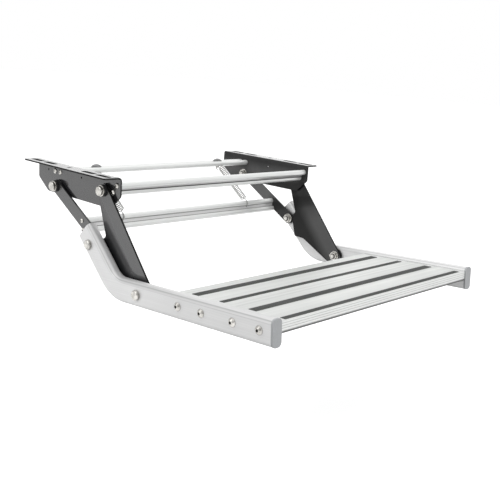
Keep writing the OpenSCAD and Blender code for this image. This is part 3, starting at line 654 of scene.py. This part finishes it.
def fluted_aluminium(name):
    """The planks: long lines and flutes along X, finer than the solid carries, and a grooved nose, whose face is
    painted lighter as lit, with painted shade on its lower lip and in its grooves.
    """
    f = Finish(name, metallic=0.2, roughness=0.4, Specular_IOR_Level=0.12)
    lying = f.lying_with_tread()
    fine = f.group(DRAWN_LINES, vector=lying, Across=(2.0, 1300.0, 1300.0))["Lines"]
    broad = f.group(DRAWN_LINES, vector=lying, Across=(0.4, 100.0, 100.0))["Lines"]
    marks = f.group(HANDLING_MARKS, Scale=7.0, Specks=0.05)
    flutes = f.nodes.new("ShaderNodeTexWave")
    flutes.bands_direction = "Y"
    flutes.inputs["Scale"].default_value = 52.0
    flutes.inputs["Distortion"].default_value = 0.0
    f.wire(lying, flutes.inputs["Vector"])
    stripes = f.math("MULTIPLY_ADD", fine, 0.1, f.math("MULTIPLY", broad, 0.9))
    tone = f.math("MULTIPLY", stripes, f.range(marks["Smudge"], 1.0, 0.8))
    # Painted shade on the nose's lower lip and in the grooves across its face
    up, back = f.along(TREAD_UP, LOWER_PIVOT), f.along(TREAD_BACK, LOWER_PIVOT)
    lip_shade = f.range(up, 0.95, 0.0, -0.8 * MM, 0.4 * MM)
    nose = f.range(back, 1.0, 0.0, NOSE_FACE, NOSE_FACE + 1 * MM)
    from_groove = f.math("PINGPONG", f.math("SUBTRACT", up, NOSE_GROOVE), NOSE_PITCH / 2)
    nose_groove_shade = f.math("MULTIPLY", f.range(from_groove, 0.4, 0.0, 0.4 * MM, 0.8 * MM), nose)
    open_face_tone = f.blend(tone, (0.59, 0.60, 0.59), (0.78, 0.79, 0.775))
    lit_nose = f.blend(tone, (0.82, 0.83, 0.82), (0.94, 0.95, 0.935))
    open_face_tone = f.blend(nose, open_face_tone, lit_nose)
    f.colour(f.blend(f.math("MAXIMUM", lip_shade, nose_groove_shade), open_face_tone, grey(0.10)))
    f.rough(f.range(marks["Smudge"], 0.38, 0.5))
    height = f.math("MULTIPLY_ADD", stripes, 0.4, f.math("MULTIPLY", flutes.outputs["Fac"], 0.6))
    f.relief(height, 0.05 * MM, 0.6)
    return f.material


def plated_steel(name, dark, light, roughness):
    """Zinc plate: warm, slightly cloudy and fairly bright."""
    f = Finish(name, metallic=1.0, roughness=roughness[0])
    skin = f.group(GRAINED_SKIN, Grain=1600.0)
    marks = f.group(HANDLING_MARKS, Scale=120.0, Specks=0.4)
    f.colour(f.blend(marks["Smudge"], light, dark))
    f.rough(f.range(skin["Mottle"], *roughness))
    f.relief(skin["Height"], 0.008 * MM, 0.5)
    return f.material


def moulded_plastic(name, dark, light, roughness):
    """Grey or black moulding with a fine spark-eroded grain."""
    f = Finish(name, roughness=roughness[0])
    skin = f.group(GRAINED_SKIN, Grain=1300.0)
    marks = f.group(HANDLING_MARKS, Scale=30.0, Specks=0.5)
    tone = f.math("MAXIMUM", f.range(skin["Mottle"], 0.0, 0.8), marks["Speck"])
    f.colour(f.blend(tone, dark, light))
    f.rough(f.range(marks["Smudge"], *roughness))
    f.relief(skin["Height"], 0.03 * MM, 0.6)
    return f.material


def grip_rubber(name):
    """Anti-slip strip: dark grey rubber with grit and pale dust in it."""
    f = Finish(name, roughness=0.75)
    skin = f.group(GRAINED_SKIN, Grain=700.0)
    lines = f.group(DRAWN_LINES, vector=f.lying_with_tread(), Across=(12.0, 700.0, 700.0))
    marks = f.group(HANDLING_MARKS, Scale=11.0, Specks=0.8)
    tone = f.math("MAXIMUM", f.range(lines["Lines"], 0.0, 0.6), marks["Speck"])
    f.colour(f.blend(tone, (0.055, 0.058, 0.055), (0.13, 0.135, 0.13)))
    f.rough(f.range(marks["Smudge"], 0.6, 0.85))
    f.relief(skin["Height"], 0.12 * MM, 0.7)
    return f.material


# Painted shade: the brackets darken towards their lower edges
bracket_shadow = ((0, 0), (-0.15, -0.99), 30 * MM, 62 * MM)

# One finish for each slot of the part, and a near-black one that paints shade into the screws' key recesses
finish = {
    # The brackets get painted shade under the flange, towards their lower edges and round the slots
    "black_coat": powder_coat("bracket_coat", inner_gloss=0.1, inner_shade_tones=(0.006, 0.18),
                              shadow=bracket_shadow, flange_shadow=(-36 * MM, -10 * MM), slots=True),
    "rail_aluminium": rail_aluminium("anodised_rails"),
    "plank_aluminium": fluted_aluminium("fluted_planks"),
    "grip_rubber": grip_rubber("grip_rubber"),
    "cap_plastic": moulded_plastic("grey_caps", (0.36, 0.37, 0.38), (0.45, 0.46, 0.47), (0.45, 0.6)),
    "nylon": moulded_plastic("black_nylon", grey(0.012), grey(0.03), (0.35, 0.5)),
    "zinc_steel": plated_steel("zinc_plate", (0.38, 0.372, 0.35), (0.61, 0.595, 0.565), (0.2, 0.32)),
    "dark_steel": plated_steel("blackened_steel", grey(0.15), grey(0.26), (0.3, 0.45)),
    # Painted shade for the screws' key recesses
    "socket": plated_steel("painted_socket_shade", (0.03, 0.03, 0.028), (0.08, 0.08, 0.075), (0.4, 0.55)),
    "spring_steel": plated_steel("spring_wire", (0.32, 0.32, 0.315), (0.50, 0.50, 0.49), (0.22, 0.36)),
}

# Finishes that fit one kind of piece, by the end of the node's name. The front links get painted shade
# towards their rear edges and upper ends, and the rear links towards their lower ends.
up_front_link = heading(LOWER_PIVOT, FRONT_PIVOT)
down_rear_link = heading(REAR_PIVOT, RAIL_PIVOT)
over_front_link = (up_front_link[1], -up_front_link[0])
own_finish = {
    "front_link": powder_coat("front_link_coat", inner_gloss=0.5, inner_shade_tones=(0.006, 0.03),
                              shadow=(FRONT_PIVOT, over_front_link, 12 * MM, 38 * MM),
                              inner_shadow=(FRONT_PIVOT, up_front_link, -120 * MM, -50 * MM)),
    "rear_link": powder_coat("rear_link_coat", inner_gloss=0.6, inner_shade_tones=(0.012, 0.06),
                             inner_shadow=(REAR_PIVOT, down_rear_link, 92 * MM, 122 * MM)),
    # The cross bars' webs and grooves get painted shade
    "rear_tie": bar_aluminium("rear_tie_aluminium", REAR_TIE, web_shade_tone=0.6, groove_shade_tone=0.3),
    "front_tie": bar_aluminium("front_tie_aluminium", FRONT_TIE, web_shade_tone=0.62, groove_shade_tone=0.08),
    "link_cross_bar": bar_aluminium("link_bar_aluminium", LINK_BAR, web_shade_tone=0.68, groove_shade_tone=0.22),
}

for part in frame["record"]["subparts"]:
    piece = node[part["node"]]
    piece.data.materials.clear()
    own = [material for key, material in own_finish.items() if part["node"].endswith(key)]
    piece.data.materials.append(own[0] if own else finish[part["material_slot"]])


def finished(piece, body, slot, *instead):
    """Gives a new piece its finish, its body and the CAD nodes that it stands for."""
    if not piece.data.materials:
        piece.data.materials.append(finish[slot])
    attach(piece, body)
    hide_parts(*instead)


# Fasteners. Each pattern points along +X, with its seat at x = 0.

SCREW_SHANK_R = 2.4 * MM
PLANK_SCREW_SHANK = 35 * MM
BAR_SCREW_SHANK = 18 * MM
BOLT_HEAD_R = 9.25 * MM
BOLT_HEAD_T = 4.2 * MM
BOLT_SHANK_R = 5 * MM
BOLT_FLANGE_R = 10.75 * MM
BOLT_FLANGE_T = 2 * MM
# A bolt's end in its nut: its radius at the thread's root, and its reach from the nut's seat
BOLT_END_R = 4.55 * MM
BOLT_END = 9.0 * MM
# The rings and the hexagon of a lock nut, each as its radius, its start and its end
NUT_FLANGE = (11 * MM, 0, 1.0 * MM)
NUT_HEXAGON = (9.8 * MM, 1.0 * MM, 6.6 * MM)
NUT_COLLAR = (7.6 * MM, 6.4 * MM, 8.0 * MM)
NUT_NYLON = (6.3 * MM, 6.8 * MM, 7.5 * MM)
# Parts that are joined into one piece reach this far into each other
OVERLAP = 0.2 * MM


def domed_head(diameter, height, key, key_depth, rim):
    """A button head on a thin straight rim, with a hexagonal key recess."""
    radius = (diameter * diameter / 4 + height * height) / (2 * height)
    head = ball(radius, rim + height - radius, segments=48, rings=64)
    # The ball is cut flat at the rim's front, and the cut is drawn back to the seat
    bpy.ops.object.mode_set(mode="EDIT")
    bpy.ops.mesh.select_all(action="SELECT")
    bpy.ops.mesh.bisect(plane_co=(rim, 0, 0), plane_no=(1, 0, 0), use_fill=True, clear_inner=True)
    select_faces(head, lambda centre, normal: normal.x < -0.99)
    bpy.ops.mesh.extrude_region_move(TRANSFORM_OT_translate={"value": (-rim, 0, 0)})
    bpy.ops.object.mode_set(mode="OBJECT")
    top = rim + height
    recess = cylinder(key / math.sqrt(3), top - key_depth, top + key_depth, sides=6)
    head.data.materials.append(finish["zinc_steel"])
    # The key recess is near-black, as painted shade
    recess.data.materials.append(finish["socket"])
    combine(head, recess, "DIFFERENCE", material_mode="TRANSFER")
    soften(head, 0.2 * MM, 2, 38)
    return head


def plank_screw():
    head = domed_head(diameter=15 * MM, height=4.2 * MM, key=5 * MM, key_depth=2.6 * MM, rim=0.8 * MM)
    return joined([head, turned_rod(SCREW_SHANK_R, -PLANK_SCREW_SHANK, OVERLAP)], "plank_screw")


def bar_screw(diameter):
    head = domed_head(diameter, height=2.0 * MM, key=3.0 * MM, key_depth=1.3 * MM, rim=1.0 * MM)
    return joined([head, turned_rod(SCREW_SHANK_R, -BAR_SCREW_SHANK, OVERLAP)], "bar_screw")


# The broken edge and the dish of a pivot bolt's head, as insets and steps outwards in mm
BOLT_HEAD_STEPS = ((0.9, 0.9), (1.6, 0.55), (2.2, 0.3), (0.6, -0.35), (1.2, 0.0))


def pivot_bolt(shank, flange_t=0.0):
    """A pivot bolt: a turned disc head with a broken edge and a shallow dish, on a flange if it has one."""
    head = cylinder(BOLT_HEAD_R, flange_t, flange_t + BOLT_HEAD_T, sides=64)
    bpy.ops.object.mode_set(mode="EDIT")
    for inset, step in BOLT_HEAD_STEPS:
        select_faces(head, lambda centre, normal: normal.x > 0.99)
        bpy.ops.mesh.inset(thickness=inset * MM, depth=0)
        bpy.ops.transform.translate(value=(step * MM, 0, 0))
    bpy.ops.object.mode_set(mode="OBJECT")
    soften(head, 0.3 * MM, 3, 30)
    parts = [head, turned_rod(BOLT_SHANK_R, -shank, flange_t + 0.5 * MM)]
    if flange_t:
        parts.append(turned_rod(BOLT_FLANGE_R, 0, flange_t, sides=64))
    return joined(parts, "pivot_bolt")


def lock_nut(shank=0.0):
    """A flanged lock nut with its nylon ring, on a bolt's end. The shank reaches back into the piece."""
    flange = turned_rod(*NUT_FLANGE, sides=64)
    hexagon = cylinder(*NUT_HEXAGON, sides=6)
    # A ball rounds off the hexagon's corners at its two ends
    combine(hexagon, ball(10.1 * MM, 3.6 * MM, segments=64, rings=32), "INTERSECT")
    soften(hexagon, 0.2 * MM, 2, 35)
    collar = cylinder(*NUT_COLLAR, sides=48)
    bpy.ops.object.mode_set(mode="EDIT")
    select_faces(collar, lambda centre, normal: normal.x > 0.99)
    bpy.ops.mesh.inset(thickness=1.2 * MM, depth=0)
    bpy.ops.transform.translate(value=(-0.7 * MM, 0, 0))
    bpy.ops.object.mode_set(mode="OBJECT")
    soften(collar, 0.4 * MM, 3, 40)
    bolt_end = turned_rod(BOLT_END_R, -shank, BOLT_END)
    nylon_ring = turned_rod(*NUT_NYLON)
    for piece in (flange, hexagon, collar, bolt_end):
        piece.data.materials.append(finish["zinc_steel"])
    nylon_ring.data.materials.append(finish["nylon"])
    return joined([flange, hexagon, collar, bolt_end, nylon_ring], "lock_nut")


def fasten(pattern, places, name, body, instead):
    """Sets out a fastener, and puts the set in the place of the part's own."""
    fasteners = set_out(pattern, places, name)
    smooth(fasteners)
    finished(fasteners, body, "zinc_steel", instead)


plank_screw_points = [tread_place(-ahead, PLANK_SCREW_UP) for ahead in PLANK_SCREWS_AT]
fasten(plank_screw(), outwards(RAIL_OUT, plank_screw_points), "plank_screw_set", "tread", "plank_screws")
tie_points = bead_places(REAR_TIE) + bead_places(FRONT_TIE)
fasten(bar_screw(10.5 * MM), outwards(WEB_OUT, tie_points), "tie_screw_set", "frame", "tie_screws")
fasten(bar_screw(9 * MM), outwards(LINK_OUT, bead_places(LINK_BAR)),
       "cross_bar_screw_set", "rear_links", "cross_bar_screws")

upper_seat = LINK_OUT + SIDE_PLAY + HEAD_WASHER_T
for label, pivot in (("rear", REAR_PIVOT), ("front", FRONT_PIVOT)):
    fasten(pivot_bolt(upper_seat - WEB_IN, BOLT_FLANGE_T), outwards(upper_seat, [pivot]),
           f"{label}_pivot_bolt_pair", "frame", f"{label}_pivot_bolts")
for label, pivot, shank in (
    ("lower", LOWER_PIVOT, RAIL_OUT - LINK_IN),
    ("rail", RAIL_PIVOT, RAIL_OUT - LINK_OUT - SIDE_PLAY),
):
    fasten(pivot_bolt(shank), outwards(RAIL_OUT, [pivot]),
           f"{label}_pivot_bolt_pair", "tread", f"{label}_pivot_bolts")

for label, seat, pivot, body, shank in (
    ("rear_pivot", WEB_IN, REAR_PIVOT, "frame", 0.0),
    ("front_pivot", WEB_IN, FRONT_PIVOT, "frame", 0.0),
    ("lower_pivot", LINK_IN - SIDE_PLAY, LOWER_PIVOT, "tread", 0.0),
    ("rail_pivot", LINK_IN, RAIL_PIVOT, "rear_links", 4 * MM),
):
    fasten(lock_nut(shank), inwards(seat, [pivot]), f"{label}_lock_nuts", body, f"{label}_nuts")


# Springs. Each is made along Z, with the middle of its upper hook at the origin.

WIRE = 2.0 * MM
COIL_RADIUS = 6.2 * MM
COIL_TURNS = 23
# The coil's middle stands this far off the hooks' line
COIL_OFFSET = 7.0 * MM
HOOK_BEND = 2.4 * MM
EYE_HOOK_RADIUS = 4.2 * MM
BAR_HOOK_RADIUS = 7.9 * MM
COIL_START = EYE_HOOK_RADIUS + 1.8 * MM + HOOK_BEND
SPRING_REACH = math.dist(SPRING_TOP, SPRING_END)
COIL_END = SPRING_REACH - BAR_HOOK_RADIUS - 0.6 * MM - HOOK_BEND


def hooked_end(spring, way, start, tip, radius, turn, steps):
    """Leads the wire from the coil's end at start to a hook whose axis lies along Y at tip.

    Half a ring leads to a quarter bend, a straight shank and the hook, which turns by degrees.
    way is 1 up Z and -1 down it, and steps are those of the half ring and of the hook."""
    ring_middle = (COIL_OFFSET + COIL_RADIUS + radius) / 2
    bend_at = start + way * HOOK_BEND
    select_rim(spring, lambda p: way * (p.z - start) > -WIRE)
    bpy.ops.mesh.spin(steps=steps[0], angle=-way * math.pi, center=(ring_middle, 0, start), axis=(0, 0, 1))
    bpy.ops.mesh.spin(steps=6, angle=math.pi / 2, center=(radius, 0, bend_at), axis=(1, 0, 0))
    bpy.ops.mesh.extrude_region_move(TRANSFORM_OT_translate={"value": (0, 0, tip - bend_at)})
    bpy.ops.mesh.spin(steps=steps[1], angle=way * math.radians(turn),
                      center=(0, -way * HOOK_BEND, tip), axis=(0, 1, 0))
    bpy.ops.mesh.edge_face_add()


def wound_spring(side):
    """A tension spring of one wire: the coil by a screw, its ends by spins."""
    nothing_selected()
    bpy.ops.mesh.primitive_circle_add(
        vertices=10, radius=WIRE / 2, location=(COIL_RADIUS, 0, COIL_START), rotation=(math.pi / 2, 0, 0))
    spring = settle("spring")
    apply_modifier(spring, "SCREW", axis="Z", angle=2 * math.pi, iterations=COIL_TURNS, steps=24,
                   render_steps=24, screw_offset=(COIL_END - COIL_START) / COIL_TURNS,
                   use_merge_vertices=False)
    work_on(spring)
    bpy.ops.object.mode_set(mode="EDIT")
    bpy.ops.mesh.select_all(action="SELECT")
    bpy.ops.transform.translate(value=(COIL_OFFSET, 0, 0))
    # The upper hook is most of a ring round the eye, the lower one a short wrap over the bar's bead
    hooked_end(spring, -1, COIL_START, 0, EYE_HOOK_RADIUS, turn=250, steps=(10, 20))
    hooked_end(spring, 1, COIL_END, SPRING_REACH, BAR_HOOK_RADIUS, turn=112, steps=(8, 12))
    bpy.ops.mesh.select_all(action="SELECT")
    bpy.ops.mesh.remove_doubles(threshold=0.02 * MM)
    bpy.ops.mesh.normals_make_consistent(inside=False)
    bpy.ops.object.mode_set(mode="OBJECT")
    # From the Z axis to the line between its two ends, with the hooks' axes along X
    angle = math.atan2(SPRING_END[1] - SPRING_TOP[1], SPRING_END[0] - SPRING_TOP[0])
    laid_down = Matrix.Rotation(-math.pi / 2, 4, "X") @ Matrix.Rotation(math.pi / 2, 4, "Z")
    hung = Matrix.Translation((SPRING_X, *SPRING_TOP)) @ Matrix.Rotation(angle, 4, "X")
    spring.data.transform(hung @ laid_down)
    if side < 0:
        spring.data.transform(Matrix.Scale(-1, 4, (1, 0, 0)))
        spring.data.flip_normals()
    smooth(spring, 50)
    return spring


for name, side in (("left_spring", -1), ("right_spring", 1)):
    spring = wound_spring(side)
    spring.name = f"{name}_wire"
    finished(spring, "springs", "spring_steel", name)
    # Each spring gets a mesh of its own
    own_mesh(spring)


# Floor, light and background

FLOOR_Z = -420 * MM


def studio_floor():
    """White paper, as the camera and the bright metal see it, but darker to light that bounces off it."""
    nothing_selected()
    bpy.ops.mesh.primitive_plane_add(size=40, location=(0, 0, FLOOR_Z))
    floor = settle("studio_floor")
    paper = Finish("white_paper", roughness=0.9)
    paper.shader.inputs["Emission Color"].default_value = (1, 1, 1, 1)
    rays = paper.nodes.new("ShaderNodeLightPath").outputs
    seen = paper.math("MAXIMUM", rays["Is Camera Ray"], rays["Is Glossy Ray"])
    paper.colour(paper.blend(seen, grey(0.16), grey(0.80)))
    paper.wire(paper.math("MULTIPLY", seen, 0.45), paper.shader.inputs["Emission Strength"])
    floor.data.materials.append(paper.material)


# Where the studio is dark, behind the camera, and where a long low light stands, opposite it
DARK_END = (-0.66, -0.75, 0.0)
LOW_LIGHT = (0.66, 0.74, 0.13)


def studio_world():
    """White to the camera, and a pale room with a darker end and a long low light to the step."""
    studio = bpy.data.worlds.new("studio")
    scene.world = studio
    studio.use_nodes = True
    room = Wiring(studio.node_tree)
    room.nodes.clear()
    direction = room.nodes.new("ShaderNodeTexCoord").outputs["Generated"]
    towards_dark = room.vector_math("DOT_PRODUCT", direction, DARK_END)
    walls = room.range(towards_dark, 0.95, 0.65, 0.45, 0.95, interpolation="SMOOTHSTEP")
    towards_light = room.vector_math("DOT_PRODUCT", direction, LOW_LIGHT)
    low_light = room.range(towards_light, 0.0, 0.6, 0.90, 0.985, interpolation="SMOOTHSTEP")

    def white_glow(strength):
        glow = room.nodes.new("ShaderNodeBackground")
        glow.inputs["Color"].default_value = (1, 1, 1, 1)
        room.put(strength, glow.inputs["Strength"])
        return glow.outputs[0]

    pick = room.nodes.new("ShaderNodeMixShader")
    room.wire(room.nodes.new("ShaderNodeLightPath").outputs["Is Camera Ray"], pick.inputs[0])
    room.wire(white_glow(room.math("ADD", walls, low_light)), pick.inputs[1])
    room.wire(white_glow(1.0), pick.inputs[2])
    room.wire(pick.outputs[0], room.nodes.new("ShaderNodeOutputWorld").inputs["Surface"])


def lamp(name, place, target, size, power):
    """A soft box, aimed from its place at a target. Its size is in metres and its power in watts."""
    light = bpy.data.lights.new(name, "AREA")
    light.shape = "RECTANGLE"
    light.size, light.size_y = size
    light.energy = power
    holder = bpy.data.objects.new(name, light)
    scene.collection.objects.link(holder)
    holder.location = place
    holder.rotation_euler = (Vector(target) - Vector(place)).to_track_quat("-Z", "Y").to_euler()


studio_floor()
studio_world()
lamp("overhead_box", place=(-0.2, 0.3, 2.2), target=(0, -0.2, -0.1), size=(3.8, 3.4), power=18)
lamp("left_box", place=(-2.2, 0.6, 0.9), target=(0, -0.15, -0.1), size=(1.4, 1.6), power=11)
lamp("front_box", place=(-0.1, -2.6, 0.5), target=(0, -0.2, -0.1), size=(2.0, 1.2), power=14)
scene.view_settings.view_transform = "Standard"
